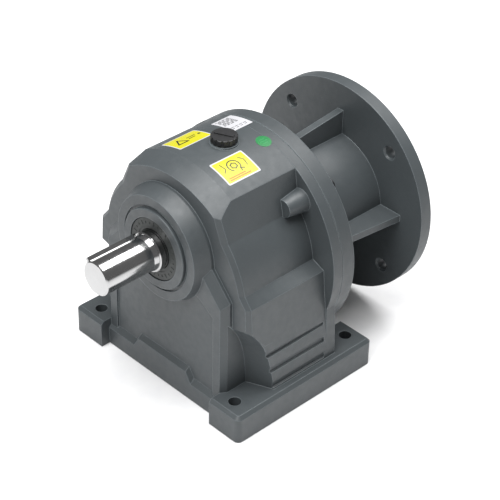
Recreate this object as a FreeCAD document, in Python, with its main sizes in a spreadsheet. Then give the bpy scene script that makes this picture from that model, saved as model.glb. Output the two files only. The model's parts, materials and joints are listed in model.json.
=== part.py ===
import FreeCAD, Part
import math
import os
import Sketcher

# Foot-mounted inline gear reducer, two spur stages, with a B5 motor adapter.
# Frame: X across, Y along the shafts (output end towards -Y), Z up from the foot plane.
# The origin is the centre of the four foot holes, on the mounting plane.

V = FreeCAD.Vector
ALONG_Y = V(0, 1, 0)

SIZES = {
    # axes
    "input_height": 109.4,
    "output_height": 139.4,
    "lay_height": 64.4,
    # feet
    "foot_hole_x": 85,
    "foot_hole_y": 65,
    "foot_hole_rad": 5.5,
    "foot_half_x": 104,
    "foot_half_y": 79,
    "foot_inner_x": 69,
    "foot_thick": 26,
    "foot_chamfer": 3,
    "foot_corner": 5,
    # gear case, outside
    "barrel_rad": 99.6,
    "barrel_front": -40,
    "nose_rad": 92.4,
    "nose_front": -58,
    "rim_front": 31,
    "parting": 41,
    "rim_rad": 99.3,
    "crown_x": 51,
    "crown_z": 194.6,
    "kink_z": 166,
    "flank_rad": 85.3,
    "waist_z": 126,
    "skirt_x": 91.3,
    "skirt_z": 116.8,
    "hem_x": 97,
    "ridge": 3.6,
    "rear_kink_z": 159.3,
    "rear_flank_rad": 75.3,
    "rear_waist_z": 117.6,
    "rear_skirt_x": 87.6,
    "rear_skirt_z": 112.3,
    "arch_root": -60.8,
    "arch_front": -67.4,
    "arch_root_rad": 51.8,
    "arch_front_rad": 49,
    "arch_root_x": 73.4,
    "arch_root_z": 116.2,
    "arch_front_x": 68.8,
    "arch_front_z": 110.9,
    "base_front": -70,
    "panel_depth": 1.8,
    "panel_x": 60.5,
    "panel_z": 98.5,
    "base_lip": 21,
    "base_lip_low": 16.5,
    "mid_lip": 30.5,
    "mid_lip_low": 26.5,
    "mid_half_x": 30,
    "boss_front": -74.8,
    "boss_rad": 46.4,
    "collar_front": -77.1,
    "collar_rad": 35.8,
    "moat_rad": 38.2,
    "moat_floor": -73.3,
    # gear case, inside
    "wall": 8,
    "front_wall": -50,
    "floor_z": 24,
    "scoop_x": 72.5,
    "case_screw_pcr": 82.5,
    "screw_boss_rad": 10.7,
    "screw_boss_tip": 7.8,
    "screw_boss_front": 11,
    "louvre_ledge": 1.6,
    "louvre_slope": 21,
    "carrier_hole_x": 66,
    "carrier_hole_z": 99,
    "carrier_low_x": 38,
    "carrier_low_z": 42,
    "pillar_rad": 10.5,
    # motor adapter
    "gasket_thick": 0.5,
    "plate_rear": 55,
    "neck_rad": 52.7,
    "flange_front": 137,
    "flange_rear": 149,
    "flange_rad": 100,
    "flange_pcr": 82.5,
    "flange_hole_rad": 5.5,
    "flange_hole_bevel": 1.2,
    "pilot_rad": 65,
    "pilot_depth": 6,
    "rib_rad": 75.6,
    "rib_thick": 6.5,
    "quill_port_rad": 18,
    # bearing carrier
    "carrier_front": -1,
    "carrier_rear": 15.5,
    # gears
    "module_fast": 1.5,
    "teeth_input": 14,
    "teeth_lay": 46,
    "module_slow": 2,
    "teeth_pinion": 19,
    "teeth_output": 56,
    "backlash": 0.24,
    # output shaft
    "shaft_end": -137,
    "shaft_rad": 15,
    "shaft_step": -84,
    "seal_seat_rad": 17.5,
    "seal_bore_rad": 28,
    "key_angle": 137,
    "key_width": 8,
    "key_height": 7,
    "key_depth": 4,
    # motor shaft socket
    "socket_rad": 9.5,
    "socket_key": 6,
    "socket_key_top": 12.3,
    "race_gap": 0.3,
}

# name: axis alias, front face, width, bore radius, outer radius, ball radius, balls
BEARINGS = {
    "output_front": ("output_height", -64, 17, 17.5, 36, 5.5, 9),
    "output_rear": ("output_height", -1, 16, 15, 31, 4.7, 9),
    "layshaft_front": ("lay_height", -52, 12, 8.5, 20, 3.3, 8),
    "layshaft_rear": ("lay_height", 39, 12, 8.5, 20, 3.3, 8),
    "input_front": ("input_height", 60, 15, 20, 34, 3.9, 12),
    "input_rear": ("input_height", 104, 15, 20, 34, 3.9, 12),
}

os.makedirs("parts", exist_ok=True)
doc = FreeCAD.newDocument("reducer")
sheet = doc.addObject("Spreadsheet::Sheet", "Sheet")


def write_sheet():
    for row, (alias, value) in enumerate(SIZES.items(), start=1):
        sheet.set("A%d" % row, alias)
        sheet.set("B%d" % row, str(value))
        sheet.setAlias("B%d" % row, alias)
    row = len(SIZES)
    for name, values in BEARINGS.items():
        labels = ("front", "width", "bore", "outer", "ball", "count")
        for label, value in zip(labels, values[1:]):
            row += 1
            alias = "%s_%s" % (name, label)
            sheet.set("A%d" % row, alias)
            sheet.set("B%d" % row, str(value))
            sheet.setAlias("B%d" % row, alias)
    doc.recompute()


write_sheet()


def size(alias):
    return float(sheet.get(alias))


def bound(text):
    """Turn '<alias>' marks in a formula into references to the sheet."""
    return str(text).replace("<", "Sheet.").replace(">", "")


def value_of(text):
    result = sheet.evalExpression(bound(text))
    return float(getattr(result, "Value", result))


NODES = []


def keep(node):
    NODES.append(node)
    return node


def new_body(label):
    body = doc.addObject("PartDesign::Body", label)
    body.Label = label
    return keep(body)


PLANE_SIGN = {"XY_Plane": 1, "XZ_Plane": -1, "YZ_Plane": 1}


def new_sketch(body, plane, level):
    """Sketch parallel to an origin plane of the body, at the given global level."""
    sketch = body.newObject("Sketcher::SketchObject", "Sketch")
    origin = [f for f in body.Origin.OriginFeatures if f.Role == plane][0]
    sketch.AttachmentSupport = (origin, "")
    sketch.MapMode = "FlatFace"
    formula = "%d * (%s)" % (PLANE_SIGN[plane], bound(level))
    sketch.setExpression("AttachmentOffset.Base.z", formula)
    return sketch


def pin(sketch, kind, first, first_point, second, second_point, formula):
    """Signed distance between two points, driven by the sheet."""
    number = value_of(formula)
    if abs(number) < 1e-9:
        number = 0.0
    index = sketch.addConstraint(
        Sketcher.Constraint(kind, first, first_point, second, second_point, number))
    sketch.setExpression("Constraints[%d]" % index, bound(formula))


def add_polygon(sketch, corners):
    """Closed outline whose every corner is placed by formulas of the sheet."""
    points = [V(value_of(x), value_of(y), 0) for x, y in corners]
    first = sketch.GeometryCount
    count = len(points)
    for i in range(count):
        sketch.addGeometry(Part.LineSegment(points[i], points[(i + 1) % count]), False)
    for i in range(count):
        sketch.addConstraint(
            Sketcher.Constraint("Coincident", first + i, 2, first + (i + 1) % count, 1))
    for i, (x, y) in enumerate(corners):
        pin(sketch, "DistanceX", -1, 1, first + i, 1, x)
        pin(sketch, "DistanceY", -1, 1, first + i, 1, y)


def add_circle(sketch, x, y, rad):
    index = sketch.addGeometry(
        Part.Circle(V(value_of(x), value_of(y), 0), V(0, 0, 1), value_of(rad)), False)
    pin(sketch, "DistanceX", -1, 1, index, 3, x)
    pin(sketch, "DistanceY", -1, 1, index, 3, y)
    number = sketch.addConstraint(Sketcher.Constraint("Radius", index, value_of(rad)))
    sketch.setExpression("Constraints[%d]" % number, bound(rad))


def prism(body, kind, plane, low, high, polygons=(), circles=()):
    """Pad or Pocket of outlines between two levels along the plane's axis."""
    sketch = new_sketch(body, plane, low)
    for corners in polygons:
        add_polygon(sketch, corners)
    for circle in circles:
        add_circle(sketch, *circle)
    feature = body.newObject("PartDesign::" + kind, kind)
    feature.Profile = sketch
    feature.setExpression("Length", "(%s) - (%s)" % (bound(high), bound(low)))
    along = PLANE_SIGN[plane] > 0
    feature.Reversed = along if kind == "Pocket" else not along
    return feature


def turn(body, kind, axis, corners=None, circle=None, angle="360", middle=False):
    """Revolution or Groove about the line parallel to Y at height 'axis'."""
    sketch = new_sketch(body, "YZ_Plane", "0")
    if corners:
        add_polygon(sketch, [(y, "%s + (%s)" % (axis, r)) for y, r in corners])
    if circle:
        add_circle(sketch, circle[0], "%s + (%s)" % (axis, circle[1]), circle[2])
    height = value_of(axis)
    line = sketch.addGeometry(
        Part.LineSegment(V(-20, height, 0), V(20, height, 0)), True)
    sketch.addConstraint(Sketcher.Constraint("Horizontal", line))
    pin(sketch, "DistanceY", -1, 1, line, 1, axis)
    feature = body.newObject("PartDesign::" + kind, kind)
    feature.Profile = sketch
    feature.ReferenceAxis = (sketch, ["Axis0"])
    feature.setExpression("Angle", bound(angle))
    feature.Midplane = middle
    return feature


def turned(label, axis, corners):
    body = new_body(label)
    turn(body, "Revolution", axis, corners)
    return body


def ring(label, axis, front, rear, inner, outer):
    return turned(label, axis, [(front, inner), (rear, inner), (rear, outer), (front, outer)])


def solid_node(label, shape):
    """Shape computed from the sheet's sizes where no parametric feature fits."""
    feature = doc.addObject("Part::Feature", label)
    feature.Label = label
    feature.Shape = shape
    return keep(feature)


def rod(x, z, front, rear, rad):
    return Part.makeCylinder(rad, rear - front, V(x, front, z), ALONG_Y)


def hexagon(x, z, front, rear, across):
    corners = []
    for i in range(7):
        angle = math.radians(60 * i)
        rad = across / math.sqrt(3)
        corners.append(V(x + rad * math.cos(angle), front, z + rad * math.sin(angle)))
    return Part.Face(Part.makePolygon(corners)).extrude(V(0, rear - front, 0))


def socket_screw(x, z, seat, length, rad, head_rad, head, across, towards=1):
    """Socket-head screw along Y; 'towards' is the side the head stands on."""
    tip = seat - towards * length
    top = seat + towards * head
    shank = rod(x, z, min(tip, seat), max(tip, seat), rad)
    cap = rod(x, z, min(seat, top), max(seat, top), head_rad)
    bottom = top - towards * 0.6 * head
    recess = hexagon(x, z, min(bottom, top), max(bottom, top), across)
    return shank.fuse(cap).cut(recess).removeSplitter()


def mirrored(x, z):
    return [(x, z), (-x, z)]


def circle_spots(rad, height, start, count):
    spots = []
    for i in range(count):
        angle = math.radians(start + 360.0 * i / count)
        spots.append((rad * math.cos(angle), height + rad * math.sin(angle)))
    return spots


# ---------------------------------------------------------------- gear case

def on_arc(rad, z):
    """Distance from the middle plane of a point of an arc about the input axis."""
    return "sqrt((%s)^2 - ((%s) - <input_height>)^2)" % (rad, z)


def outline_sketch(body, level, corners):
    """Outline; a corner marked True starts a clockwise arc about the input axis."""
    sketch = new_sketch(body, "XZ_Plane", level)
    height = value_of("<input_height>")
    points = [V(value_of(x), value_of(z), 0) for x, z, bend in corners]
    count = len(points)
    for i in range(count):
        begin, end = points[i], points[(i + 1) % count]
        if corners[i][2]:
            rad = math.hypot(begin.x, begin.y - height)
            circle = Part.Circle(V(0, height, 0), V(0, 0, 1), rad)
            angles = [math.atan2(p.y - height, p.x) for p in (end, begin)]
            sketch.addGeometry(Part.ArcOfCircle(circle, angles[0], angles[1]), False)
        else:
            sketch.addGeometry(Part.LineSegment(begin, end), False)
    for i in range(count):
        j = (i + 1) % count
        sketch.addConstraint(Sketcher.Constraint(
            "Coincident", i, 1 if corners[i][2] else 2, j, 2 if corners[j][2] else 1))
    for i, (x, z, bend) in enumerate(corners):
        point = 2 if bend else 1
        pin(sketch, "DistanceY", -1, 1, i, point, z)
        if not corners[i - 1][2]:
            pin(sketch, "DistanceX", -1, 1, i, point, x)
        if bend:
            pin(sketch, "DistanceX", -1, 1, i, 3, "0")
            pin(sketch, "DistanceY", -1, 1, i, 3, "<input_height>")
    return sketch


FRONT = ("<kink_z>", "<flank_rad>", "<waist_z>", "<skirt_x>", "<skirt_z>")
REAR = ("<rear_kink_z>", "<rear_flank_rad>", "<rear_waist_z>", "<rear_skirt_x>", "<rear_skirt_z>")


def mirror_outline(corners):
    """Same outline on the other side, taken in the opposite order."""
    turned_over = []
    count = len(corners)
    for i in range(count):
        x, z, bend = corners[count - 1 - i]
        turned_over.append(("-(%s)" % x, z, corners[count - 2 - i][2]))
    return turned_over


def flank_sketch(body, level, left, sizes, inset):
    """Outline of what is cut away beside one flank of the case."""
    kink_z, rad, waist_z, skirt_x, skirt_z = sizes
    rad = "%s - %s" % (rad, inset)
    corners = [
        ("<crown_x> - %s" % inset, "<crown_z>", False),
        (on_arc(rad, kink_z), kink_z, True),
        (on_arc(rad, waist_z), waist_z, False),
        ("%s - %s" % (skirt_x, inset), skirt_z, False),
        ("<hem_x> - %s" % inset, "<foot_thick>", False),
        ("125", "<foot_thick>", False),
        ("125", "<crown_z> + 20", False),
        ("<crown_x> - %s" % inset, "<crown_z> + 20", False)]
    return outline_sketch(body, level, corners if not left else mirror_outline(corners))


def cavity_sketch(body, level, sizes):
    """Outline of the gear chamber at one depth."""
    kink_z, rad, waist_z, skirt_x, skirt_z = sizes
    rad = "%s - 6" % rad
    right = [
        ("<crown_x> - 6.5", "<crown_z> - 7", False),
        (on_arc(rad, kink_z + " - 1"), kink_z + " - 1", True),
        (on_arc(rad, waist_z + " - 1"), waist_z + " - 1", False),
        ("64", "<skirt_z> - 13", False),
        ("50", "<floor_z>", False)]
    left = [("-(%s)" % x, z, i == 2) for i, (x, z, bend) in enumerate(reversed(right))]
    return outline_sketch(body, level, right + left)


def both_sides(right, bottom_x, bottom_z):
    """Closed outline from a right-hand chain, a bottom corner and their mirror image."""
    chain = right + [(bottom_x, bottom_z)]
    left = [("-(%s)" % x, z) for x, z in reversed(chain)]
    return chain + left


def make_case():
    body = new_body("gear_case")
    # round barrel, closed at the front by the nose cone
    turn(body, "Revolution", "<input_height>", [
        ("<nose_front>", "0"), ("<nose_front>", "<nose_rad>"),
        ("<barrel_front>", "<barrel_rad>"), ("<rim_front>", "<barrel_rad>"),
        ("<rim_front>", "<rim_rad>"), ("<parting>", "<rim_rad>"), ("<parting>", "0")])
    # lower block down to the feet
    prism(body, "Pad", "XZ_Plane", "<nose_front>", "<parting>", [both_sides(
        [("<skirt_x>", "<skirt_z>")], "<hem_x>", "0")])
    # flanks cut between the rim and the nose, drawn in a little towards the rim
    for left in (False, True):
        loft(body, "SubtractiveLoft", [
            flank_sketch(body, "<nose_front> - 1", left, FRONT, "<ridge> * 1.28"),
            flank_sketch(body, "<nose_front> + <ridge>", left, FRONT, "0"),
            flank_sketch(body, "<rim_front>", left, REAR, "0")])
    # arch-shaped front block with sloping sides
    arch_loft(body)
    # shallow panel sunk into the front wall below the boss
    prism(body, "Pocket", "XZ_Plane", "<arch_front> - 1", "<arch_front> + <panel_depth>", [both_sides(
        [("38", "112"), ("50", "106"), ("<panel_x>", "<panel_z>")], "<panel_x>", "0")])
    # plinth under the front wall, raised in the middle
    loft(body, "AdditiveLoft", [
        plinth_sketch(body, "<arch_front> + 2", "<base_lip>", "<mid_lip>"),
        plinth_sketch(body, "<base_front>", "<base_lip_low>", "<mid_lip_low>")])
    # stepped round boss around the output shaft
    turn(body, "Revolution", "<output_height>", [
        ("<arch_front> + 2", "0"), ("<arch_front> + 2", "<arch_front_rad>"),
        ("<arch_front>", "<arch_front_rad>"), ("<boss_front>", "<boss_rad>"),
        ("<boss_front>", "<collar_rad>"), ("<collar_front> + 0.6", "<collar_rad>"),
        ("<collar_front>", "<collar_rad> - 0.6"), ("<collar_front>", "0")])
    turn(body, "Groove", "<output_height>", [
        ("<boss_front> - 1", "<collar_rad>"), ("<boss_front> - 1", "<moat_rad>"),
        ("<moat_floor>", "<moat_rad>"), ("<moat_floor>", "<collar_rad>")])
    # hollow inside
    turn(body, "Groove", "<input_height>", [
        ("<front_wall>", "0"), ("<front_wall>", "<nose_rad> - <wall> - 2"),
        ("<barrel_front> + 6", "<barrel_rad> - <wall>"),
        ("<parting> + 1", "<barrel_rad> - <wall>"), ("<parting> + 1", "0")],
        angle="56", middle=True)
    loft(body, "SubtractiveLoft", [cavity_sketch(body, "<front_wall>", FRONT),
                                   cavity_sketch(body, "<parting> + 1", REAR)])
    prism(body, "Pocket", "XZ_Plane", "-24", "<parting> + 1", [both_sides(
        [("60", "<rear_waist_z> - 1"), ("69", "<rear_waist_z> - 1"),
         ("<rear_skirt_x> - 6.6", "<rear_skirt_z> - 7.5"), ("83.5", "90")], "50", "<floor_z>")])
    # housings standing on the front wall
    ring_pad(body, "<output_height>", "<front_wall> - 1", "-43", "43")
    ring_pad(body, "<lay_height>", "<front_wall> - 1", "-41", "27")
    pillar_holes = []
    for x, z in (("<carrier_hole_x>", "<carrier_hole_z>"), ("<carrier_low_x>", "<carrier_low_z>")):
        for sign in ("", "-"):
            pillar_holes.append((sign + x, z, "4"))
    prism(body, "Pad", "XZ_Plane", "<front_wall> - 1", "<carrier_front>",
          circles=[(x, z, "<pillar_rad>") for x, z, rad in pillar_holes])
    prism(body, "Pocket", "XZ_Plane", "<carrier_front> - 16", "<carrier_front>",
          circles=pillar_holes)
    turn(body, "Groove", "<output_height>", [
        ("<collar_front> - 1", "0"), ("<collar_front> - 1", "<seal_bore_rad>"),
        ("<output_front_front>", "<seal_bore_rad>"),
        ("<output_front_front>", "<output_front_outer>"), ("-42", "<output_front_outer>"),
        ("-42", "0")])
    turn(body, "Groove", "<output_height>", [
        ("-47", "30"), ("-47", "<output_front_outer> + 1.6"), ("-44.4", "<output_front_outer> + 1.6"),
        ("-44.4", "30")])
    turn(body, "Groove", "<lay_height>", [
        ("<layshaft_front_front> - 3", "0"), ("<layshaft_front_front> - 3", "16"),
        ("<layshaft_front_front>", "16"),
        ("<layshaft_front_front>", "<layshaft_front_outer>"), ("-40", "<layshaft_front_outer>"),
        ("-40", "0")])
    # bolt scoops at the front corners
    for sign in (1, -1):
        scoop_loft(body, sign)
    # feet
    foot = [("<foot_inner_x>", "-<foot_half_y>"), ("<foot_half_x>", "-<foot_half_y>"),
            ("<foot_half_x>", "<foot_half_y>"), ("<foot_inner_x>", "<foot_half_y>")]
    mirror = [("-(%s)" % x, y) for x, y in foot]
    feet = prism(body, "Pad", "XY_Plane", "0", "<foot_thick>", [foot, mirror])
    dress_feet(body, feet)
    holes = [("%s<foot_hole_x>" % a, "%s<foot_hole_y>" % b, "<foot_hole_rad>")
             for a in ("", "-") for b in ("", "-")]
    prism(body, "Pocket", "XY_Plane", "-1", "<foot_thick> + 1", circles=holes)
    # screw bosses behind the flanks, and their threaded holes
    spots = [("%s<case_screw_pcr> * sqrt(0.5)" % a, "<input_height> %s <case_screw_pcr> * sqrt(0.5)" % b)
             for a in ("", "-") for b in ("+", "-")]
    for x, z in spots:
        loft(body, "AdditiveLoft", [
            circle_sketch(body, "<screw_boss_front>", x, z, "<screw_boss_tip>"),
            circle_sketch(body, "<rim_front> + 1", x, z, "<screw_boss_rad>")])
    prism(body, "Pocket", "XZ_Plane", "<parting> - 20", "<parting> + 1",
          circles=[(x, z, "4") for x, z in spots])
    prism(body, "Pocket", "XZ_Plane", "<parting> - 8", "<parting> + 1",
          circles=[("91.5", "<input_height>", "3"), ("-91.5", "<input_height>", "3")])
    # breather opening on the crown
    prism(body, "Pad", "XY_Plane", "<input_height> + <barrel_rad> - 6",
          "<input_height> + <barrel_rad> + 0.8", circles=[("0", "0", "12")])
    prism(body, "Pocket", "XY_Plane", "<input_height> + <barrel_rad> - 12",
          "<input_height> + <barrel_rad> + 2", circles=[("0", "0", "6")])
    # three louvres along each skirt: a long slope inwards above a short ledge
    for z, deep in (("61.5", "91.8"), ("44.5", "92.8"), ("28", "93.9")):
        for sign in ("", "-"):
            slot = [(sign + deep, z), (sign + "99", "%s - <louvre_ledge>" % z),
                    (sign + "99", "%s + <louvre_slope>" % z)]
            prism(body, "Pocket", "XZ_Plane", "<nose_front> - 1", "28", [slot])
    return body


def ring_pad(body, axis, front, rear, rad):
    prism(body, "Pad", "XZ_Plane", front, rear, circles=[("0", axis, rad)])


def loft(body, kind, sketches):
    feature = body.newObject("PartDesign::" + kind, kind)
    feature.Profile = sketches[0]
    feature.Sections = sketches[1:]
    feature.Ruled = True
    return feature


def circle_sketch(body, level, x, z, rad):
    sketch = new_sketch(body, "XZ_Plane", level)
    add_circle(sketch, x, z, rad)
    return sketch


def plinth_sketch(body, level, side_z, mid_z):
    """Front view of the plinth: low at the sides, raised in the middle."""
    sketch = new_sketch(body, "XZ_Plane", level)
    half, outer = "<mid_half_x>", "<foot_inner_x>"
    right = [(half, mid_z), (half + " + 6", side_z), (outer, side_z)]
    add_polygon(sketch, both_sides(right, outer, "0"))
    return sketch


def arch_sketch(body, level, rad, start, leg_x, leg_z):
    """Arch outline: an arc about the output axis carried down by straight legs."""
    sketch = new_sketch(body, "XZ_Plane", level)
    height = value_of("<output_height>")
    radius = value_of(rad)
    begin = math.radians(start)
    arc_x, arc_z = radius * math.cos(begin), height + radius * math.sin(begin)
    corner_x, corner_z = value_of(leg_x), value_of(leg_z)
    circle = Part.Circle(V(0, height, 0), V(0, 0, 1), radius)
    sketch.addGeometry(Part.ArcOfCircle(circle, begin, math.pi - begin), False)
    chain = [V(-arc_x, arc_z, 0), V(-corner_x, corner_z, 0), V(-corner_x, 0, 0),
             V(corner_x, 0, 0), V(corner_x, corner_z, 0), V(arc_x, arc_z, 0)]
    for i in range(5):
        sketch.addGeometry(Part.LineSegment(chain[i], chain[i + 1]), False)
        sketch.addConstraint(Sketcher.Constraint("Coincident", i, 2, i + 1, 1))
    sketch.addConstraint(Sketcher.Constraint("Coincident", 5, 2, 0, 1))
    pin(sketch, "DistanceX", -1, 1, 0, 3, "0")
    pin(sketch, "DistanceY", -1, 1, 0, 3, "<output_height>")
    number = sketch.addConstraint(Sketcher.Constraint("Radius", 0, radius))
    sketch.setExpression("Constraints[%d]" % number, bound(rad))
    for point in (1, 2):
        pin(sketch, "DistanceY", -1, 1, 0, point,
            "<output_height> + %s * sin(%s deg)" % (rad, start))
    legs = ((2, "-" + leg_x, leg_z), (3, "-" + leg_x, "0"), (4, leg_x, "0"), (5, leg_x, leg_z))
    for index, x, z in legs:
        pin(sketch, "DistanceX", -1, 1, index, 1, x)
        pin(sketch, "DistanceY", -1, 1, index, 1, z)
    return sketch


def arch_loft(body):
    root_sizes = ("<arch_root_rad>", 0, "<arch_root_x>", "<arch_root_z>")
    base = arch_sketch(body, "<nose_front> + 1", *root_sizes)
    root = arch_sketch(body, "<arch_root>", *root_sizes)
    front = arch_sketch(body, "<arch_front>", "<arch_front_rad>", -8, "<arch_front_x>",
                        "<arch_front_z>")
    return loft(body, "AdditiveLoft", [base, root, front])


def scoop_sketch(body, level, shift, drop):
    """Section of the bolt scoop: a hollow curve rising from the foot to the front."""
    sketch = new_sketch(body, "YZ_Plane", level)
    spots = [(-41, 26), (-43.2, 52), (-49, 75), (-58.5, 91), (-72, 104), (-95, 112)]
    curve = [V(y + shift * (1 - 0.16 * i), z + drop * i * 0.2, 0) for i, (y, z) in enumerate(spots)]
    curve[0].y = value_of("<foot_thick>") - 0.5
    spline = Part.BSplineCurve()
    spline.interpolate(curve)
    sketch.addGeometry(spline, False)
    corner = V(-95, curve[0].y, 0)
    sketch.addGeometry(Part.LineSegment(curve[-1], corner), False)
    sketch.addGeometry(Part.LineSegment(corner, curve[0]), False)
    return sketch


def scoop_loft(body, sign):
    side = "" if sign > 0 else "-"
    inner = scoop_sketch(body, side + "<scoop_x>", 0, 0)
    outer = scoop_sketch(body, side + "(<foot_half_x> + 8)", 17.5, 3)
    return loft(body, "SubtractiveLoft", [inner, outer])


def edge_names(shape, test):
    return ["Edge%d" % (i + 1) for i, edge in enumerate(shape.Edges) if test(edge)]


def dress_feet(body, feet):
    doc.recompute()
    half_x, half_y = size("foot_half_x"), size("foot_half_y")
    thick = size("foot_thick")

    def is_corner(edge):
        box = edge.BoundBox
        upright = box.ZLength > thick - 0.5 and box.XLength < 0.01 and box.YLength < 0.01
        return upright and abs(abs(box.XMin) - half_x) < 0.01 and abs(abs(box.YMin) - half_y) < 0.01

    fillet = body.newObject("PartDesign::Fillet", "Fillet")
    fillet.Base = (feet, edge_names(feet.Shape, is_corner))
    fillet.setExpression("Radius", bound("<foot_corner>"))
    doc.recompute()

    def is_outer_rim(edge):
        box = edge.BoundBox
        level = abs(box.ZMin - thick) < 0.01 and box.ZLength < 0.01
        outside = max(abs(box.XMin), abs(box.XMax)) > half_x - size("foot_corner") - 0.01
        return level and outside and box.XLength < 40

    chamfer = body.newObject("PartDesign::Chamfer", "Chamfer")
    chamfer.Base = (fillet, edge_names(fillet.Shape, is_outer_rim))
    chamfer.setExpression("Size", bound("<foot_chamfer>"))
    doc.recompute()


make_case()


# ---------------------------------------------------------------- motor adapter

def make_adapter():
    body = new_body("motor_adapter")
    front = "<parting> + <gasket_thick>"
    turn(body, "Revolution", "<input_height>", [
        (front, "<quill_port_rad>"), (front, "<rim_rad>"), ("<plate_rear>", "<rim_rad>"),
        ("<plate_rear>", "<neck_rad>"), ("<flange_front>", "<neck_rad>"),
        ("<flange_front>", "<flange_rad>"), ("<flange_rear>", "<flange_rad>"),
        ("<flange_rear>", "<pilot_rad>"), ("<flange_rear> - <pilot_depth>", "<pilot_rad>"),
        ("<flange_rear> - <pilot_depth>", "40"), ("131.4", "40"),
        ("131.4", "<input_rear_outer>"), ("<input_front_front>", "<input_front_outer>"),
        ("<input_front_front>", "<quill_port_rad>")])
    turn(body, "Groove", "<input_height>", [
        ("119.2", "30"), ("119.2", "<input_rear_outer> + 1.6"),
        ("121.8", "<input_rear_outer> + 1.6"), ("121.8", "30")])
    rise = [("<plate_rear> - 1", "<input_height> + 66"), ("<flange_front> + 1",
            "<input_height> + <rib_rad>"), ("<flange_front> + 1", "<input_height> + 46"),
            ("<plate_rear> - 1", "<input_height> + 46")]
    fall = [(y, z.replace("> +", "> -")) for y, z in rise]
    half = "<rib_thick> * 0.5"
    for profile in (rise, fall):
        prism(body, "Pad", "YZ_Plane", "-(%s)" % half, half, [profile])
    for sign in ("", "-"):
        profile = [(sign + "46", "<plate_rear> - 1"), (sign + "66", "<plate_rear> - 1"),
                   (sign + "<rib_rad>", "<flange_front> + 1"), (sign + "46", "<flange_front> + 1")]
        prism(body, "Pad", "XY_Plane", "<input_height> - " + half, "<input_height> + " + half,
              [profile])
    prism(body, "Pocket", "XZ_Plane", front + " - 1", "<layshaft_rear_front> + 12.3",
          circles=[("0", "<lay_height>", "<layshaft_rear_outer>")])
    spots = [("%s<flange_pcr> * sqrt(0.5)" % a, "<input_height> %s <flange_pcr> * sqrt(0.5)" % b)
             for a in ("", "-") for b in ("+", "-")]
    drilled = prism(body, "Pocket", "XZ_Plane", "<flange_front> - 1", "<flange_rear> + 1",
                    circles=[(x, z, "<flange_hole_rad>") for x, z in spots])
    doc.recompute()

    def is_mouth(edge):
        box = edge.BoundBox
        level = box.YLength < 0.01 and box.YMin < size("flange_front") + 0.01
        return level and abs(box.XLength - 2 * size("flange_hole_rad")) < 0.1

    chamfer = body.newObject("PartDesign::Chamfer", "Chamfer")
    chamfer.Base = (drilled, edge_names(drilled.Shape, is_mouth))
    chamfer.setExpression("Size", bound("<flange_hole_bevel>"))
    prism(body, "Pocket", "XZ_Plane", "<parting> - 1", "<plate_rear> + 1",
          circles=[(x, z, "4.5") for x, z in spots])
    prism(body, "Pocket", "XZ_Plane", "<parting> - 1", "<parting> + 7",
          circles=[("91.5", "<input_height>", "3"), ("-91.5", "<input_height>", "3")])
    return body


make_adapter()
SCREW_SPOTS = circle_spots(size("case_screw_pcr"), size("input_height"), 45, 4)


def make_gasket():
    body = new_body("case_gasket")
    axis = "<input_height>"
    prism(body, "Pad", "XZ_Plane", "<parting>", "<parting> + <gasket_thick>",
          circles=[("0", axis, "<rim_rad> - 0.4")])
    prism(body, "Pocket", "XZ_Plane", "<parting> - 1", "<parting> + 2", [both_sides(
        [("40", "172"), ("46", "156"), ("62", "126")], "62", "<input_height> - 12")])
    prism(body, "Pocket", "XZ_Plane", "<parting> - 1", "<parting> + 2",
          circles=[("0", "<lay_height>", "34")])
    spots = [("%s<case_screw_pcr> * sqrt(0.5)" % a, "<input_height> %s <case_screw_pcr> * sqrt(0.5)" % b)
             for a in ("", "-") for b in ("+", "-")]
    holes = [(x, z, "4.5") for x, z in spots]
    holes += [("91.5", axis, "3"), ("-91.5", axis, "3")]
    prism(body, "Pocket", "XZ_Plane", "<parting> - 1", "<parting> + 2", circles=holes)


make_gasket()


def group(label, shapes):
    return solid_node(label, Part.makeCompound(shapes))


def washers(label, spots, front, thick, inner, outer):
    shapes = []
    for x, z in spots:
        shapes.append(rod(x, z, front, front + thick, outer).cut(
            rod(x, z, front - 1, front + thick + 1, inner)))
    return group(label, shapes)


rear = size("plate_rear")
washers("case_washers", SCREW_SPOTS, rear, 1.6, 4.5, 8)
group("case_screws", [socket_screw(x, z, rear + 1.6, 32, 4, 6.5, 8, 6) for x, z in SCREW_SPOTS])
group("dowel_pins", [rod(x, size("input_height"), 33.5, 47.5, 3) for x in (-91.5, 91.5)])


# ---------------------------------------------------------------- bearing carrier

def make_carrier():
    body = new_body("bearing_carrier")
    front, back = "<carrier_front>", "<carrier_rear>"
    outline = [("34", "175"), ("60", "126"), ("76", "103"), ("76", "90"), ("48", "62"), ("48", "32"),
               ("-48", "32"), ("-48", "62"), ("-76", "90"), ("-76", "103"), ("-60", "126"), ("-34", "175")]
    prism(body, "Pad", "XZ_Plane", front, back, [outline])
    prism(body, "Pocket", "XZ_Plane", front + " - 1", back + " + 1",
          circles=[("0", "<output_height>", "<output_rear_outer>"), ("0", "<lay_height>", "24")])
    holes = []
    for x, z in (("<carrier_hole_x>", "<carrier_hole_z>"), ("<carrier_low_x>", "<carrier_low_z>")):
        holes += [(x, z, "4.5"), ("-" + x, z, "4.5")]
    prism(body, "Pocket", "XZ_Plane", front + " - 1", back + " + 1", circles=holes)


make_carrier()
carrier_spots = mirrored(size("carrier_hole_x"), size("carrier_hole_z"))
carrier_spots += mirrored(size("carrier_low_x"), size("carrier_low_z"))
group("carrier_screws", [socket_screw(x, z, size("carrier_rear"), 30, 4, 6.5, 8, 6)
                         for x, z in carrier_spots])


def hidden(label, shape):
    """Tool shape used by a boolean, not a sub-part of its own."""
    feature = doc.addObject("Part::Feature", label)
    feature.Shape = shape
    return feature


def hidden_turned(label, axis, corners):
    body = doc.addObject("PartDesign::Body", label)
    turn(body, "Revolution", axis, corners)
    return body


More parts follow.
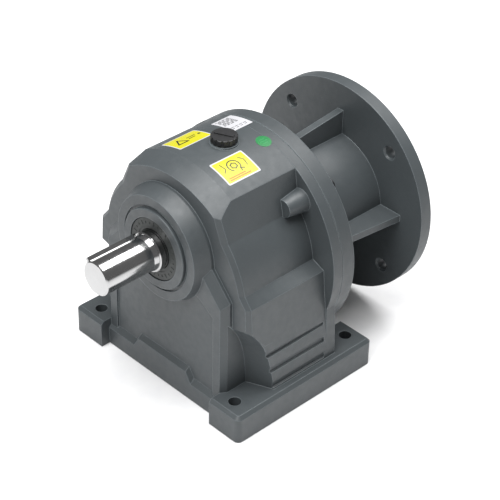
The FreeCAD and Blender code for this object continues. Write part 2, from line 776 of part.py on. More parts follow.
def joined(label, base, added, removed):
    """Base plus one tool minus others, as boolean document objects."""
    result = base
    if added:
        fuse = doc.addObject("Part::Fuse", label + "_fuse")
        fuse.Base = result
        fuse.Tool = added
        result = fuse
    for tool in removed:
        cut = doc.addObject("Part::Cut", label + "_cut")
        cut.Base = result
        cut.Tool = tool
        result = cut
    result.Label = label
    return keep(result)


# ---------------------------------------------------------------- bearings

def make_bearing(name, values):
    axis_name, front, width, bore, outer, ball, count = values
    prefix = "<%s_" % name
    axis = "<%s>" % axis_name
    y0 = prefix + "front>"
    y1 = "%s + %swidth>" % (y0, prefix)
    pitch = "(%sbore> + %souter>) * 0.5" % (prefix, prefix)
    land = "%sball> * 0.5" % prefix
    height = size(axis_name)
    cup = ring(name + "_outer_ring", axis, y0, y1, "%s + %s" % (pitch, land), prefix + "outer>")
    turn(cup, "Groove", axis, circle=("%s + %swidth> * 0.5" % (y0, prefix), pitch,
                                      "%sball> + <race_gap>" % prefix))
    pitch_rad = (bore + outer) / 2
    middle = front + width / 2
    cone = rod(0, height, front, front + width, pitch_rad - ball / 2).cut(
        rod(0, height, front - 1, front + width + 1, bore))
    solid_node(name + "_inner_ring", cone.cut(Part.makeTorus(
        pitch_rad, ball + size("race_gap"), V(0, middle, height), ALONG_Y)))
    balls = []
    pockets = []
    for x, z in circle_spots(pitch_rad, height, 90 if count % 2 else 97, count):
        balls.append(Part.makeSphere(ball, V(x, middle, z)))
        pockets.append(Part.makeSphere(ball + 0.1, V(x, middle, z)))
    group(name + "_balls", balls)
    band = 0.18 * ball
    half = 1.15 * ball
    cage = rod(0, height, middle - half, middle + half, pitch_rad + band)
    cage = cage.cut(rod(0, height, middle - half - 1, middle + half + 1, pitch_rad - band))
    for pocket in pockets:
        cage = cage.cut(pocket)
    solid_node(name + "_cage", cage)


for bearing_name, bearing_values in BEARINGS.items():
    make_bearing(bearing_name, bearing_values)


# ---------------------------------------------------------------- gears

def involute_point(base, rad, offset, side):
    """Point of an involute flank; 'offset' turns the flank, 'side' mirrors it."""
    grow = math.sqrt(max((rad / base) ** 2 - 1, 0))
    angle = offset + side * (grow - math.atan(grow))
    return rad, angle


def gear_blank(module, teeth, front, width, height, phase):
    """Spur gear about the line parallel to Y; a tooth points along 'phase' degrees."""
    pitch = module * teeth / 2
    base = pitch * math.cos(math.radians(20))
    tip = pitch + module
    root = pitch - 1.25 * module
    start = max(base, root)
    roll = math.tan(math.radians(20)) - math.radians(20)
    half = math.pi / (2 * teeth) - size("backlash") / (4 * pitch) + roll
    pieces = []
    step = 2 * math.pi / teeth

    def place(rad, angle):
        return V(rad * math.cos(angle), front, height + rad * math.sin(angle))

    for i in range(teeth):
        middle = math.radians(phase) + i * step
        rise = []
        for k in range(7):
            rad = start + (tip - start) * k / 6
            rad, turn_by = involute_point(base, rad, -half, 1)
            rise.append((rad, turn_by))
        up = [place(r, middle + a) for r, a in rise]
        down = [place(r, middle - a) for r, a in reversed(rise)]
        if root < start:
            up.insert(0, place(root, middle + rise[0][1]))
            down.append(place(root, middle - rise[0][1]))
        next_up = place(root if root < start else start, middle + step + rise[0][1])
        curve = Part.BSplineCurve()
        flank = up[1:] if root < start else up
        curve.interpolate(flank)
        if root < start:
            pieces.append(Part.makeLine(up[0], up[1]))
        pieces.append(curve.toShape())
        pieces.append(Part.Arc(up[-1], place(tip, middle), down[0]).toShape())
        curve = Part.BSplineCurve()
        flank = down[:-1] if root < start else down
        curve.interpolate(flank)
        pieces.append(curve.toShape())
        if root < start:
            pieces.append(Part.makeLine(down[-2], down[-1]))
        low = root if root < start else start
        between = middle + step / 2
        pieces.append(Part.Arc(down[-1], place(low, between), next_up).toShape())
    wire = Part.Wire(pieces)
    return Part.Face(wire).extrude(V(0, width, 0))


def key_box(x, z, front, rear, width, low, high, angle):
    """Key standing from radius 'low' to 'high' in the direction 'angle', round ends."""
    rad = width / 2
    blade = Part.makeBox(high - low, rear - front - width, width, V(low, front + rad, -rad))
    for y in (front + rad, rear - rad):
        blade = blade.fuse(Part.makeCylinder(rad, high - low, V(low, y, 0), V(1, 0, 0)))
    blade = blade.removeSplitter()
    blade.rotate(V(0, 0, 0), V(0, 1, 0), -angle)
    blade.translate(V(x, 0, z))
    return blade


def keyed_bore(shape, height, front, rear, rad, key_width, key_top, angle):
    """Bore with a keyway reaching out to 'key_top' in the direction 'angle'."""
    tool = rod(0, height, front - 1, rear + 1, rad)
    slot = Part.makeBox(key_top, rear - front + 2, key_width, V(0, front - 1, -key_width / 2))
    slot.rotate(V(0, 0, 0), V(0, 1, 0), -angle)
    slot.translate(V(0, 0, height))
    return shape.cut(tool.fuse(slot))


def circlip(label, height, front, rear, inner, outer, angle, grip_out):
    """Retaining ring with a gap at 'angle' and two pierced ears beside it."""
    mean = outer if grip_out else inner
    ear = 2.2
    shape = rod(0, height, front, rear, outer).cut(rod(0, height, front - 1, rear + 1, inner))
    for side in (-1, 1):
        turn_by = math.radians(angle) + side * 5.2 / mean
        reach = mean + (0.6 * ear if grip_out else -0.6 * ear)
        x, z = reach * math.cos(turn_by), height + reach * math.sin(turn_by)
        shape = shape.fuse(rod(x, z, front, rear, ear)).cut(rod(x, z, front - 1, rear + 1, 1))
    gap = Part.makeBox(16, rear - front + 2, 3.2, V(mean - 8, front - 1, -1.6))
    gap.rotate(V(0, 0, 0), V(0, 1, 0), -angle)
    gap.translate(V(0, 0, height))
    return solid_node(label, shape.cut(gap).removeSplitter())


OUT = size("output_height")
LAY = size("lay_height")
INP = size("input_height")

# ---------------------------------------------------------------- output shaft

core = hidden_turned("output_core", "<output_height>", [
    ("<shaft_end>", "0"), ("<shaft_end>", "<shaft_rad> - 1"), ("<shaft_end> + 1", "<shaft_rad>"),
    ("<shaft_step> - 4.5", "<shaft_rad>"), ("<shaft_step>", "<shaft_rad> + 1"),
    ("<shaft_step>", "<seal_seat_rad> - 0.8"), ("<shaft_step> + 0.8", "<seal_seat_rad>"),
    ("-47", "<seal_seat_rad>"), ("-47", "21.5"), ("-36", "21.5"), ("-36", "20"),
    ("-14.3", "20"), ("-14.3", "<output_rear_bore>"), ("15.1", "<output_rear_bore>"),
    ("15.1", "13.9"), ("16.6", "13.9"), ("16.6", "<output_rear_bore>"),
    ("17.6", "<output_rear_bore> - 0.5"), ("17.6", "0")])
key_low = size("shaft_rad") - size("key_depth")
key_span = (size("shaft_end") + 1.5, size("shaft_end") + 51.5)
seat = hidden("output_key_seat", key_box(
    0, OUT, key_span[0], key_span[1], size("key_width"), key_low, 24, size("key_angle")))
gear_seat = hidden("gear_key_seat", key_box(0, OUT, -34, -16, 12, 15, 26, 90))
joined("output_shaft", core, None, [seat, gear_seat])
solid_node("output_key", key_box(0, OUT, key_span[0], key_span[1], size("key_width"), key_low,
                                 key_low + size("key_height"), size("key_angle")))
solid_node("output_gear_key", key_box(0, OUT, -34, -16, 12, 15, 23, 90))


def make_output_gear():
    teeth = int(size("teeth_output"))
    blank = gear_blank(size("module_slow"), teeth, -36, 22, OUT, 270)
    for front, rear in ((-37, -31), (-19, -13)):
        relief = rod(0, OUT, front, rear, 48).cut(rod(0, OUT, front - 1, rear + 1, 31))
        blank = blank.cut(relief)
    solid_node("output_gear", keyed_bore(blank, OUT, -36, -14, 20, 12, 23.2, 90))


make_output_gear()
ring("output_spacer", "<output_height>", "-14", "<output_rear_front>", "<output_rear_bore>", "20.5")
circlip("output_rear_circlip", OUT, 15.1, 16.6, 13.9, 18, 90, True)

# ---------------------------------------------------------------- layshaft

core = hidden_turned("layshaft_core", "<lay_height>", [
    ("-52", "0"), ("-52", "8"), ("-51.5", "<layshaft_front_bore>"),
    ("-40", "<layshaft_front_bore>"), ("-40", "11.5"), ("-38", "11.5"), ("-38", "15"),
    ("-12", "15"), ("-12", "14"), ("20", "14"), ("20", "12"), ("36.2", "12"), ("36.2", "11.2"),
    ("37.5", "11.2"), ("37.5", "12"), ("39", "12"), ("39", "<layshaft_rear_bore>"),
    ("50.5", "<layshaft_rear_bore>"), ("51", "8"), ("51", "0")])
pinion_teeth = int(size("teeth_pinion"))
pinion = hidden("layshaft_pinion", gear_blank(
    size("module_slow"), pinion_teeth, -38, 26, LAY, 90 + 180.0 / pinion_teeth))
seat = hidden("layshaft_key_seat", key_box(0, LAY, 21, 35, 8, 8, 18, 0))
joined("layshaft", core, pinion, [seat])
solid_node("layshaft_gear_key", key_box(0, LAY, 21, 35, 8, 8, 15, 0))


def make_layshaft_gear():
    teeth = int(size("teeth_lay"))
    blank = gear_blank(size("module_fast"), teeth, 20, 16, LAY, 90 + 180.0 / teeth)
    solid_node("layshaft_gear", keyed_bore(blank, LAY, 20, 36, 12, 8, 15.2, 0))


make_layshaft_gear()
circlip("layshaft_circlip", LAY, 36.2, 37.4, 11.2, 14.5, 270, True)

# ---------------------------------------------------------------- input quill

core = hidden_turned("quill_core", "<input_height>", [
    ("19.3", "0"), ("19.3", "8"), ("38", "8"), ("38", "12"), ("39", "14"), ("60.2", "14"),
    ("60.2", "19.4"), ("60.8", "<input_front_bore>"), ("75", "<input_front_bore>"), ("75", "24"),
    ("104", "24"), ("104", "<input_rear_bore>"), ("119.2", "<input_rear_bore>"),
    ("119.2", "18.8"), ("121", "18.8"), ("121", "<input_rear_bore>"),
    ("141.5", "<input_rear_bore>"), ("142.5", "<input_rear_bore> - 1"), ("142.5", "0")])
teeth_in = int(size("teeth_input"))
pinion = hidden("input_pinion", gear_blank(size("module_fast"), teeth_in, 19, 19, INP, 270))
slot = Part.makeBox(size("socket_key_top"), 44, size("socket_key"), V(0, 102, -size("socket_key") / 2))
slot.rotate(V(0, 0, 0), V(0, 1, 0), -90)
slot.translate(V(0, 0, INP))
bore = hidden("motor_socket", rod(0, INP, 97, 144, size("socket_rad")).fuse(slot))
joined("input_quill", core, pinion, [bore])
circlip("quill_circlip", INP, 119.3, 120.9, 18.8, 23, 90, True)

# ---------------------------------------------------------------- seals and rings in the housing


def make_seal(prefix, axis, front, rear, shaft_rad, outer, lip_side):
    """Steel-backed case with a rubber face, and a sprung lip riding on the shaft."""
    inner = outer - 2.2
    open_end = rear if lip_side > 0 else front
    closed = front if lip_side > 0 else rear
    step = 1.6 if lip_side > 0 else -1.6
    turned(prefix + "_case", axis, [
        (str(closed), str(shaft_rad + 2.6)), (str(closed), str(outer - 0.6)),
        (str(closed + step * 0.4), str(outer)), (str(open_end), str(outer)),
        (str(open_end), str(inner)), (str(closed + step * 1.3), str(inner)),
        (str(closed + step * 1.3), str(shaft_rad + 2.6))])
    reach = closed + step * 4.6
    turned(prefix + "_lip", axis, [
        (str(closed + step * 0.3), str(shaft_rad + 0.4)),
        (str(closed + step * 0.3), str(shaft_rad + 2.6)),
        (str(closed + step * 1.3), str(shaft_rad + 2.6)), (str(closed + step * 1.6), str(shaft_rad + 4)),
        (str(reach), str(shaft_rad + 4)), (str(reach), str(shaft_rad + 0.9)),
        (str(reach - step * 1.2), str(shaft_rad + 0.08)),
        (str(closed + step * 1.4), str(shaft_rad + 1.2))])


make_seal("output_seal", "<output_height>", -76.4, -66.4, size("seal_seat_rad"),
          size("seal_bore_rad"), 1)
make_seal("input_seal", "<input_height>", 123.2, 131.2, size("input_rear_bore"),
          size("input_rear_outer"), -1)
circlip("output_bearing_circlip", OUT, -47, -44.6, 32.8, size("output_front_outer") + 1.4, 270,
        False)
circlip("quill_bearing_circlip", INP, 119.3, 121.7, 31, size("input_rear_outer") + 1.4, 270, False)

# ---------------------------------------------------------------- breather

deck = INP + size("barrel_rad") + 0.8


def make_breather():
    washer = Part.makeCylinder(10.4, 1.4, V(0, 0, deck)).cut(
        Part.makeCylinder(6, 3, V(0, 0, deck - 1)))
    solid_node("breather_washer", washer)
    cap = Part.makeCylinder(11.3, 4.6, V(0, 0, deck + 1.4))
    rim = [e for e in cap.Edges if e.BoundBox.ZMin > deck + 5.5 and e.BoundBox.ZLength < 0.1]
    cap = cap.makeFillet(0.9, rim)
    for i in range(14):
        angle = 2 * math.pi * i / 14
        notch = Part.makeCylinder(1.3, 9, V(11.8 * math.cos(angle), 11.8 * math.sin(angle), deck))
        cap = cap.cut(notch)
    grip = Part.makeBox(17, 3, 1.1, V(-8.5, -1.5, deck + 5.8))
    grip.rotate(V(0, 0, 0), V(0, 0, 1), 25)
    cap = cap.fuse(grip)
    stem = Part.makeCylinder(6, 13, V(0, 0, deck - 11.6))
    vent = Part.makeCylinder(2, 16, V(0, 0, deck - 12))
    solid_node("breather_plug", cap.fuse(stem).removeSplitter().cut(vent))


make_breather()

# ---------------------------------------------------------------- check and export

doc.recompute()
for item in doc.Objects:
    for state in item.State:
        if state in ("Invalid", "Error"):
            raise RuntimeError("%s is %s" % (item.Label, state))
for node in NODES:
    if node.Shape.isNull() or not node.Shape.isValid():
        raise RuntimeError("bad shape in " + node.Label)
    node.Shape.exportStep("parts/%s.step" % node.Label)
    print("%-28s solids %2d volume %9.0f" % (node.Label, len(node.Shape.Solids), node.Shape.Volume))
print(len(NODES), "nodes")
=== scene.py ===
import json
import math

import bmesh
import bpy
from mathutils import Matrix, Vector

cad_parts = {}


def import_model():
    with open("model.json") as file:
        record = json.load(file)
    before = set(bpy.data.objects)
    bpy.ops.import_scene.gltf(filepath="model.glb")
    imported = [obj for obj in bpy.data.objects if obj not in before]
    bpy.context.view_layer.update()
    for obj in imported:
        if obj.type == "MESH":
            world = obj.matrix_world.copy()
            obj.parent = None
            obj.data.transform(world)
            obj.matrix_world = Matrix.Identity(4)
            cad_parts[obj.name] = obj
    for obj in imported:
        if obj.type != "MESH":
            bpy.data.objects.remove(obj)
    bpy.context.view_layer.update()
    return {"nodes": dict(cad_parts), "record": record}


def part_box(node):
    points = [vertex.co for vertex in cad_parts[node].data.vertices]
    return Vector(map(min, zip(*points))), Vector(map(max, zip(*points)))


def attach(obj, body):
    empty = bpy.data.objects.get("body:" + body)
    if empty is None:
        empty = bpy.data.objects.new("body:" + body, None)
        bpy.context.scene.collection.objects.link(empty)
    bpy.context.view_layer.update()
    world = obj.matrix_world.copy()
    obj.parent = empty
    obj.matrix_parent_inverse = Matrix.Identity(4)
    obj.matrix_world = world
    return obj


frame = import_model()
NODES = frame["nodes"]


# ---------------------------------------------------------------- materials

class Look:
    """A node material under construction, with short names for the nodes it uses."""

    def __init__(self, name):
        self.mat = bpy.data.materials.new(name)
        self.mat.use_nodes = True
        self.tree = self.mat.node_tree
        self.bsdf = self.tree.nodes["Principled BSDF"]

    def node(self, kind, **inputs):
        made = self.tree.nodes.new(kind)
        for key, value in inputs.items():
            made.inputs[key.replace("_", " ")].default_value = value
        return made

    def link(self, start, end):
        self.tree.links.new(start, end)

    def place(self):
        """Object coordinates."""
        return self.node("ShaderNodeTexCoord").outputs["Object"]

    def noise(self, where, scale, detail=4.0, rough=0.55):
        made = self.node("ShaderNodeTexNoise", Scale=scale, Detail=detail, Roughness=rough)
        self.link(where, made.inputs["Vector"])
        return made.outputs["Fac"]

    def ramp(self, fac, stops):
        made = self.node("ShaderNodeValToRGB")
        ramp = made.color_ramp
        while len(ramp.elements) < len(stops):
            ramp.elements.new(0.5)
        for element, (place, value) in zip(ramp.elements, stops):
            element.position = place
            if not isinstance(value, (tuple, list)):
                value = (value, value, value)
            element.color = (*value, 1)
        self.link(fac, made.inputs["Fac"])
        return made.outputs["Color"]

    def mix(self, fac, first, second, blend="MIX"):
        made = self.tree.nodes.new("ShaderNodeMix")
        made.data_type = "RGBA"
        made.blend_type = blend
        for socket, value in ((made.inputs[0], fac), (made.inputs[6], first),
                              (made.inputs[7], second)):
            if hasattr(value, "is_linked"):
                self.link(value, socket)
            elif isinstance(value, (tuple, list)):
                socket.default_value = (*value, 1)
            else:
                socket.default_value = value
        return made.outputs[2]

    def bump(self, height, strength, distance, normal=None):
        made = self.node("ShaderNodeBump", Strength=strength, Distance=distance)
        self.link(height, made.inputs["Height"])
        if normal:
            self.link(normal, made.inputs["Normal"])
        return made.outputs["Normal"]

    def use(self, **sockets):
        for key, value in sockets.items():
            socket = self.bsdf.inputs[key.replace("_", " ")]
            if hasattr(value, "is_linked"):
                self.link(value, socket)
            else:
                socket.default_value = value

    def soft_edge(self, radius):
        """Normal rounded off near edges, and a mask that is 1 on the edges themselves, used for
        painted edge highlights.
        """
        bevel = self.node("ShaderNodeBevel", Radius=radius)
        bevel.samples = 6
        geometry = self.node("ShaderNodeNewGeometry")
        dot = self.node("ShaderNodeVectorMath")
        dot.operation = "DOT_PRODUCT"
        self.link(bevel.outputs["Normal"], dot.inputs[0])
        self.link(geometry.outputs["Normal"], dot.inputs[1])
        mask = self.ramp(dot.outputs["Value"], [(0.86, 1.0), (0.985, 0.0)])
        return bevel.outputs["Normal"], mask


EDGE_RADIUS = 0.0010
# how much lighter the painted highlight along the edges is than the paint
PAINTED_HIGHLIGHT_GAIN = 3.2
SPECK_GAIN = 1.7


def scaled(tone, factor):
    """The colour made lighter or darker, kept within 0 to 1."""
    return [min(1, channel * factor) for channel in tone]


def painted_iron(name, tone):
    """Sprayed enamel over a sand casting: sand grain under the paint, with painted highlights
    along convex and concave edges.
    """
    look = Look(name)
    where = look.place()
    broad = look.noise(where, 9.0, 3.0)
    sand = look.noise(where, 620.0, 4.0, 0.65)
    peel = look.noise(where, 170.0, 2.0, 0.5)
    specks = look.noise(where, 900.0, 2.0, 0.5)
    colour = look.ramp(broad, [(0.35, scaled(tone, 0.92)), (0.65, scaled(tone, 1.07))])
    speck_mask = look.ramp(specks, [(0.62, 0.0), (0.74, 0.35)])
    colour = look.mix(speck_mask, colour, scaled(tone, SPECK_GAIN))
    # painted highlight: the edge mask lightens the paint along every convex and concave edge,
    # standing in for the bright lines of light on fillets
    rounded, edges = look.soft_edge(EDGE_RADIUS)
    colour = look.mix(edges, colour, scaled(tone, PAINTED_HIGHLIGHT_GAIN))
    normal = look.bump(peel, 0.12, 0.0006, rounded)
    normal = look.bump(sand, 0.10, 0.0002, normal)
    look.use(Base_Color=colour, Roughness=look.ramp(peel, [(0.3, 0.40), (0.7, 0.52)]),
             Normal=normal, Metallic=0.0, Specular_IOR_Level=0.5)
    return look.mat


def steel(name, tone, rough, metallic=1.0, bump=0.04):
    """Bare or plated metal with a fine grain and faint patches."""
    look = Look(name)
    where = look.place()
    grain = look.noise(where, 260.0, 4.0, 0.6)
    patch = look.noise(where, 35.0, 3.0)
    colour = look.ramp(patch, [(0.3, scaled(tone, 0.9)), (0.7, scaled(tone, 1.05))])
    look.use(Base_Color=colour, Metallic=metallic,
             Roughness=look.ramp(grain, [(0.3, rough * 0.8), (0.7, rough * 1.25)]),
             Normal=look.bump(grain, bump, 0.0002))
    return look.mat


def film(name, tone):
    """Printed plastic film, slightly mottled and glossy."""
    rough = 0.32
    look = Look(name)
    where = look.place()
    grain = look.noise(where, 700.0, 2.0)
    patch = look.noise(where, 60.0, 3.0)
    colour = look.ramp(patch, [(0.3, scaled(tone, 0.93)), (0.7, tone)])
    look.use(Base_Color=colour,
             Roughness=look.ramp(grain, [(0.3, rough - 0.05), (0.7, rough + 0.08)]),
             Normal=look.bump(grain, 0.05, 0.0001))
    return look.mat


def soft(name, tone, rough):
    """Rubber, plastic or fibre with a matt grain."""
    look = Look(name)
    where = look.place()
    grain = look.noise(where, 300.0, 3.0)
    patch = look.noise(where, 40.0, 2.0)
    colour = look.ramp(patch, [(0.3, scaled(tone, 0.85)), (0.7, scaled(tone, 1.2))])
    look.use(Base_Color=colour,
             Roughness=look.ramp(grain, [(0.3, rough - 0.06), (0.7, rough + 0.06)]),
             Normal=look.bump(grain, 0.15, 0.0003))
    return look.mat


LOOKS = {
    "painted_iron": painted_iron("slate_paint", (0.050, 0.058, 0.062)),
    "raw_iron": steel("bare_casting", (0.2, 0.2, 0.2), 0.6, metallic=0.6, bump=0.2),
    "zinc_steel": steel("zinc_plate", (0.62, 0.63, 0.64), 0.34),
    "black_oxide": steel("black_oxide", (0.05, 0.05, 0.052), 0.42),
    "black_plastic": soft("moulded_black", (0.014, 0.014, 0.015), 0.42),
    "gasket_fibre": soft("gasket_fibre", (0.03, 0.03, 0.028), 0.8),
    "seal_rubber": soft("nitrile_rubber", (0.018, 0.021, 0.02), 0.55),
    "bearing_steel": steel("bearing_steel", (0.62, 0.62, 0.61), 0.18),
    "cage_steel": steel("cage_strip", (0.5, 0.48, 0.43), 0.4),
    "spring_steel": steel("spring_steel", (0.12, 0.11, 0.1), 0.45),
    "gear_steel": steel("gear_steel", (0.42, 0.42, 0.43), 0.3),
    "ground_steel": steel("ground_steel", (0.46, 0.46, 0.46), 0.14, bump=0.004),
}

for part in frame["record"]["subparts"]:
    if part["node"] in NODES:
        mesh = NODES[part["node"]].data
        mesh.materials.clear()
        mesh.materials.append(LOOKS[part["material_slot"]])


# ------------------------------------------------- stickers on the barrel, marks on the seal

BARREL_RAD = 0.0996     # of the crown, about the input axis
BARREL_HEIGHT = 0.1094  # of the input axis above the floor
FILM = 0.00016          # thickness of a sticker
INK = 0.00005           # thickness of a print on it
STRIP = 0.0015          # width of the flat strips that bend round the barrel
SEAL_BARS = 30
SEAL_BAR_RAD = 0.0236
PAPER = film("paper_white", (0.48, 0.48, 0.50))
YELLOW = film("signal_yellow", (0.48, 0.45, 0.010))
BLACK_INK = film("black_ink", (0.008, 0.008, 0.008))
GREY_INK = film("grey_ink", (0.03, 0.03, 0.015))
ORANGE_INK = film("orange_ink", (0.36, 0.12, 0.01))
GREEN = film("signal_green", (0.012, 0.17, 0.045))
PALE_GREEN = film("pale_green", (0.03, 0.24, 0.08))


def rounded_box(left, right, front, back, corner):
    """Corners of a rectangle with round corners, anticlockwise."""
    points = []
    for centre_u, centre_v, start in ((right - corner, front + corner, -90),
                                      (right - corner, back - corner, 0),
                                      (left + corner, back - corner, 90),
                                      (left + corner, front + corner, 180)):
        for step in range(5):
            angle = math.radians(start + 22.5 * step)
            points.append((centre_u + corner * math.cos(angle),
                           centre_v + corner * math.sin(angle)))
    return points


def disc(centre_u, centre_v, radius, count=40):
    """Corners of a many-sided disc."""
    return [(centre_u + radius * math.cos(2 * math.pi * k / count),
             centre_v + radius * math.sin(2 * math.pi * k / count)) for k in range(count)]


def stroke(points, width):
    """One box for each leg of a drawn line."""
    boxes = []
    for (u0, v0), (u1, v1) in zip(points, points[1:]):
        length = math.hypot(u1 - u0, v1 - v0)
        along = ((u1 - u0) / length, (v1 - v0) / length)
        side = (-along[1] * width / 2, along[0] * width / 2)
        end = (along[0] * width / 2, along[1] * width / 2)
        boxes.append([(u0 - end[0] - side[0], v0 - end[1] - side[1]),
                      (u1 + end[0] - side[0], v1 + end[1] - side[1]),
                      (u1 + end[0] + side[0], v1 + end[1] + side[1]),
                      (u0 - end[0] + side[0], v0 - end[1] + side[1])])
    return boxes


def arc(centre_u, centre_v, radius, start, stop, count):
    """Points along an arc between two angles in degrees."""
    angles = [math.radians(start + (stop - start) * k / (count - 1)) for k in range(count)]
    return [(centre_u + radius * math.cos(angle), centre_v + radius * math.sin(angle))
            for angle in angles]


def wrap(name, layers):
    """A sticker bent round the barrel. Each layer: material, outlines, bottom and top heights."""
    mesh = bpy.data.meshes.new(name)
    whole = bmesh.new()
    for index, (material, outlines, low, high) in enumerate(layers):
        mesh.materials.append(material)
        for outline in outlines:
            part = bmesh.new()
            part.faces.new([part.verts.new((u, v, low)) for u, v in outline])
            left = min(u for u, v in outline)
            right = max(u for u, v in outline)
            for cut in range(1, int((right - left) / STRIP) + 1):
                bmesh.ops.bisect_plane(part, geom=part.verts[:] + part.edges[:] + part.faces[:],
                                       plane_co=(left + cut * STRIP, 0, 0), plane_no=(1, 0, 0))
            top = bmesh.ops.extrude_face_region(part, geom=part.faces[:])
            for item in top["geom"]:
                if isinstance(item, bmesh.types.BMVert):
                    item.co.z = high
            bmesh.ops.recalc_face_normals(part, faces=part.faces[:])
            for face in part.faces:
                face.material_index = index
            piece = bpy.data.meshes.new("part")
            part.to_mesh(piece)
            part.free()
            whole.from_mesh(piece)
            bpy.data.meshes.remove(piece)
    for vert in whole.verts:
        angle = vert.co.x / BARREL_RAD
        reach = BARREL_RAD + vert.co.z
        vert.co = Vector((reach * math.sin(angle), vert.co.y,
                          BARREL_HEIGHT + reach * math.cos(angle)))
    whole.to_mesh(mesh)
    whole.free()
    obj = bpy.data.objects.new(name, mesh)
    bpy.context.scene.collection.objects.link(obj)
    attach(obj, "housing")


def across(degrees):
    """Distance round the barrel from its top line."""
    return math.radians(degrees) * BARREL_RAD


def bordered(ground, left, right, front, back, border):
    """White film with a coloured field inside its border."""
    return [(PAPER, [rounded_box(left, right, front, back, 0.0012)], -INK, FILM),
            (ground, [rounded_box(left + border, right - border, front + border, back - border,
                                  0.0006)], FILM, FILM + INK)]


def near_sticker():
    """Yellow, with a line drawing of a plug and a turning arrow, and a row of plain bars."""
    left, right, front, back = across(9.6), across(24.2), -0.032, 0.0025
    layers = bordered(YELLOW, left, right, front, back, 0.0013)
    low, high = FILM + INK, FILM + 2 * INK
    mid_u = (left + right) / 2 - 0.002
    mid_v = (front + back) / 2
    drawing = stroke(arc(mid_u, mid_v, 0.0058, 40, 320, 15), 0.0009)
    drawing += stroke(arc(mid_u, mid_v, 0.0030, 0, 360, 7), 0.0009)
    drawing += stroke([(mid_u + 0.0058, mid_v + 0.0065), (mid_u + 0.0044, mid_v + 0.0037),
                       (mid_u + 0.0072, mid_v + 0.0032)], 0.0009)
    drawing += stroke([(mid_u - 0.0055, mid_v + 0.0090), (mid_u - 0.0015, mid_v + 0.0120),
                       (mid_u + 0.0045, mid_v + 0.0110)], 0.0007)
    drawing += stroke([(mid_u - 0.0060, mid_v - 0.0100), (mid_u, mid_v - 0.0088),
                       (mid_u + 0.0030, mid_v - 0.0120)], 0.0007)
    layers.append((GREY_INK, drawing, low, high))
    bars = []
    for row, starts in enumerate(((-0.0125, 0.0085), (-0.0125, 0.0040))):
        place = right - 0.0034 - 0.0019 * row
        bars += stroke([(place, mid_v + starts[0]), (place, mid_v + starts[1])], 0.0010)
    layers.append((ORANGE_INK, bars, low, high))
    wrap("sticker_near", layers)


def far_sticker():
    """Yellow, with a plain triangle, two long bars and a dot."""
    left, right, front, back = across(-23.2), across(-9.2), -0.033, 0.002
    layers = bordered(YELLOW, left, right, front, back, 0.0010)
    low, high = FILM + INK, FILM + 2 * INK
    mid_u = (left + right) / 2
    tri_v = front + 0.0105
    drawing = stroke([(mid_u + 0.0045, tri_v - 0.0050), (mid_u + 0.0045, tri_v + 0.0050),
                      (mid_u - 0.0045, tri_v), (mid_u + 0.0045, tri_v - 0.0050)], 0.0013)
    drawing += stroke([(mid_u - 0.0016, front + 0.0190), (mid_u - 0.0016, front + 0.0270)], 0.0010)
    drawing += stroke([(mid_u + 0.0016, front + 0.0190), (mid_u + 0.0016, front + 0.0250)], 0.0010)
    drawing.append(disc(mid_u, back - 0.0042, 0.0014, 12))
    layers.append((BLACK_INK, drawing, low, high))
    wrap("sticker_far", layers)


def white_sticker():
    """White, with rows of plain bars."""
    left, right, front, back = across(-19.8), across(-3.8), 0.0165, 0.0385
    layers = [(PAPER, [rounded_box(left, right, front, back, 0.0008)], -INK, FILM)]
    bars = []
    for row in range(7):
        place = left + 0.0034 + 0.0020 * row
        for column in range(5):
            start = front + 0.0022 + 0.0029 * column + 0.0006 * ((row * 2 + column) % 3)
            stop = start + 0.0010 + 0.0005 * ((row + column) % 3)
            bars += stroke([(place, start), (place, stop)], 0.0009)
    for column in range(4):
        start = front + 0.0025 + 0.0045 * column
        bars += stroke([(right - 0.0055, start), (right - 0.0055, start + 0.0028)], 0.0006)
        bars += stroke([(right - 0.0032, start), (right - 0.0032, start + 0.0020)], 0.0006)
    layers.append((BLACK_INK, bars, FILM, FILM + INK))
    wrap("sticker_white", layers)


def green_sticker():
    """Green disc with two paler bars."""
    mid_u, mid_v = across(10.8), 0.0262
    bars = []
    for row, half in enumerate((0.0024, 0.0036, 0.0020)):
        place = mid_u - 0.0024 + 0.0024 * row
        bars += stroke([(place, mid_v - half), (place, mid_v + half)], 0.0006)
    wrap("sticker_green", [(GREEN, [disc(mid_u, mid_v, 0.0066)], -INK, FILM),
                           (PALE_GREEN, bars, FILM, FILM + INK)])


def seal_marks():
    """A ring of small plain bars moulded on the face of the output seal."""
    low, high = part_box("output_seal_case")
    centre = (Vector(low) + Vector(high)) / 2
    face = low[1]
    whole = bmesh.new()
    for index in range(SEAL_BARS):
        size = (0.0009, 0.0006, 0.0022 if index % 3 else 0.0034)
        made = bmesh.ops.create_cube(whole, size=1)
        spin = Matrix.Rotation(2 * math.pi * index / SEAL_BARS, 4, "Y")
        lift = Matrix.Translation((0, 0, SEAL_BAR_RAD))
        bmesh.ops.transform(whole, matrix=spin @ lift @ Matrix.Diagonal((*size, 1)),
                            verts=made["verts"])
    bmesh.ops.bevel(whole, geom=whole.edges[:], offset=0.00015, segments=2, affect="EDGES")
    bmesh.ops.translate(whole, vec=(centre.x, face, centre.z), verts=whole.verts[:])
    mesh = bpy.data.meshes.new("seal_marks")
    whole.to_mesh(mesh)
    whole.free()
    mesh.materials.append(LOOKS["seal_rubber"])
    obj = bpy.data.objects.new("seal_marks", mesh)
    bpy.context.scene.collection.objects.link(obj)
    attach(obj, "housing")


seal_marks()
near_sticker()
far_sticker()
white_sticker()
green_sticker()


# ---------------------------------------------------------------- floor, light and camera

FLOOR_HALF = 6.0
FLOOR_LEVEL = -0.0004


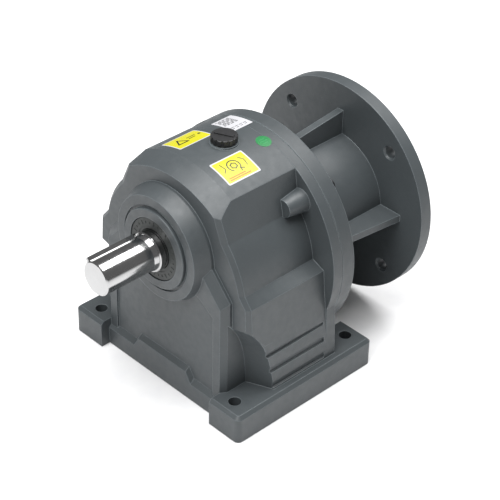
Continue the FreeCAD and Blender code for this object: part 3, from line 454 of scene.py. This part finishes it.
def floor():
    """A plain pale floor just below the feet."""
    look = Look("pale_floor")
    grain = look.noise(look.place(), 60.0, 2.0)
    look.use(Base_Color=look.ramp(grain, [(0.3, (0.86, 0.86, 0.87)), (0.7, (0.9, 0.9, 0.9))]),
             Roughness=0.6)
    mesh = bpy.data.meshes.new("floor")
    corners = [(x * FLOOR_HALF, y * FLOOR_HALF, FLOOR_LEVEL)
               for x, y in ((-1, -1), (1, -1), (1, 1), (-1, 1))]
    mesh.from_pydata(corners, [], [(0, 1, 2, 3)])
    mesh.materials.append(look.mat)
    obj = bpy.data.objects.new("floor", mesh)
    bpy.context.scene.collection.objects.link(obj)


def area_light(name, spot, target, width, depth, power):
    """A rectangular softbox at 'spot' that faces 'target'."""
    data = bpy.data.lights.new(name, "AREA")
    data.shape = "RECTANGLE"
    data.size = width
    data.size_y = depth
    data.energy = power
    obj = bpy.data.objects.new(name, data)
    obj.location = spot
    aim = Vector(target) - Vector(spot)
    obj.rotation_euler = aim.to_track_quat("-Z", "Y").to_euler()
    bpy.context.scene.collection.objects.link(obj)


def world(strength):
    """Even white light from all round."""
    made = bpy.data.worlds.new("studio")
    made.use_nodes = True
    made.node_tree.nodes["Background"].inputs["Color"].default_value = (1, 1, 1, 1)
    made.node_tree.nodes["Background"].inputs["Strength"].default_value = strength
    bpy.context.scene.world = made


CAMERA_ANGLES = (45.63, 35.42, 1.227)  # azimuth, elevation and roll in degrees
CAMERA_SPOT = (0.8606, -0.8101, 0.9429)
CAMERA_LENS = 124.06


def camera():
    """The camera at the photograph's viewing angle."""
    azimuth, elevation, roll = (math.radians(angle) for angle in CAMERA_ANGLES)
    back = Vector((math.sin(azimuth) * math.cos(elevation),
                   -math.cos(azimuth) * math.cos(elevation), math.sin(elevation)))
    across = Vector((math.cos(azimuth), math.sin(azimuth), 0))
    up = back.cross(across)
    right = math.cos(roll) * across + math.sin(roll) * up
    top = -math.sin(roll) * across + math.cos(roll) * up
    data = bpy.data.cameras.new("camera")
    data.sensor_width = 36
    data.lens = CAMERA_LENS
    data.clip_end = 50
    obj = bpy.data.objects.new("camera", data)
    matrix = Matrix((right, top, back)).transposed().to_4x4()
    matrix.translation = Vector(CAMERA_SPOT)
    obj.matrix_world = matrix
    bpy.context.scene.collection.objects.link(obj)
    bpy.context.scene.camera = obj


floor()
world(0.2)
area_light("top", (0.10, -0.30, 1.6), (0.10, -0.28, 0.1), 1.1, 3.0, 76)
bpy.context.scene.view_settings.view_transform = "Standard"
camera()
